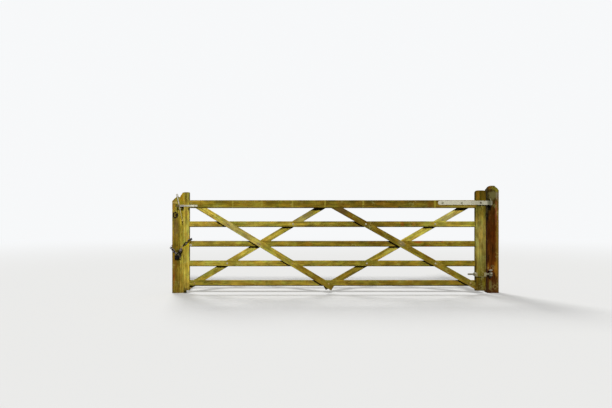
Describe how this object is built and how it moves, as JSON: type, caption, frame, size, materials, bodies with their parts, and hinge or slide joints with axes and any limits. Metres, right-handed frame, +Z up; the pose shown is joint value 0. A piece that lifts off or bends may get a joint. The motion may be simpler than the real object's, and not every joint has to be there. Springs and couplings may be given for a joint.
{
  "type": "five-bar field gate on two posts",
  "caption": "Timber field gate with diamond bracing, strap hinge, spring latch and padlocked chain, hung between a hanging post and a slam post.",
  "frame": {"origin": "middle of the hanging post's foot, at ground level", "axes": "+X along the fence line from the slam post towards the hanging post, +Y away from the side that the gate opens to, +Z up"},
  "size_m": [4.011, 0.237, 1.31],
  "materials": {
    "gate_timber": "weathered, algae-stained",
    "hanging_post_timber": "weathered, reddish brown",
    "slam_post_timber": "weathered",
    "galvanised_steel": "galvanised, dull",
    "chain_steel": "dull, worn",
    "dark_iron": "rusty",
    "padlock_iron": "worn black"
  },
  "bodies": {
    "posts": {"hanging_post": "hanging_post_timber", "slam_post": "slam_post_timber", "stop_batten": "slam_post_timber", "top_hook": "galvanised_steel", "bottom_hook": "galvanised_steel", "latch_catch": "dark_iron", "post_ring": "dark_iron", "ring_staple": "dark_iron", "post_chain": "chain_steel", "lock_chain": "chain_steel", "padlock_body": "padlock_iron", "padlock_shackle": "galvanised_steel"},
    "gate": {"heel_stile": "gate_timber", "closing_stile": "gate_timber", "top_rail": "gate_timber", "second_rail": "gate_timber", "third_rail": "gate_timber", "fourth_rail": "gate_timber", "bottom_rail": "gate_timber", "rail_bolt": "galvanised_steel", "front_brace_latch_side": "gate_timber", "front_brace_hinge_side": "gate_timber", "back_brace_latch_side": "gate_timber", "back_brace_hinge_side": "gate_timber", "brace_bolts": "galvanised_steel", "top_hinge_strap": "galvanised_steel", "strap_bolts": "galvanised_steel", "bottom_eye_bolt": "galvanised_steel", "eye_bolt_plates": "galvanised_steel", "eye_bolt_nuts": "galvanised_steel", "latch_bracket": "galvanised_steel", "latch_pin": "galvanised_steel", "guide_loop": "galvanised_steel", "guide_bolts": "galvanised_steel", "stile_chain": "chain_steel"},
    "lever": {"latch_lever": "galvanised_steel"}
  },
  "joints": [
    {"name": "gate_hinge", "type": "hinge", "parent": "posts", "child": "gate", "pos_m": [-0.038, -0.1, 0.66], "axis": [0, 0, 1], "range_deg": [0, 150]},
    {"name": "latch_lever_pivot", "type": "hinge", "parent": "gate", "child": "lever", "pos_m": [-3.7775, -0.11, 0.885], "axis": [0, 1, 0], "range_deg": [-5, 8], "stiffness_Nm_per_rad": 20}
  ]
}
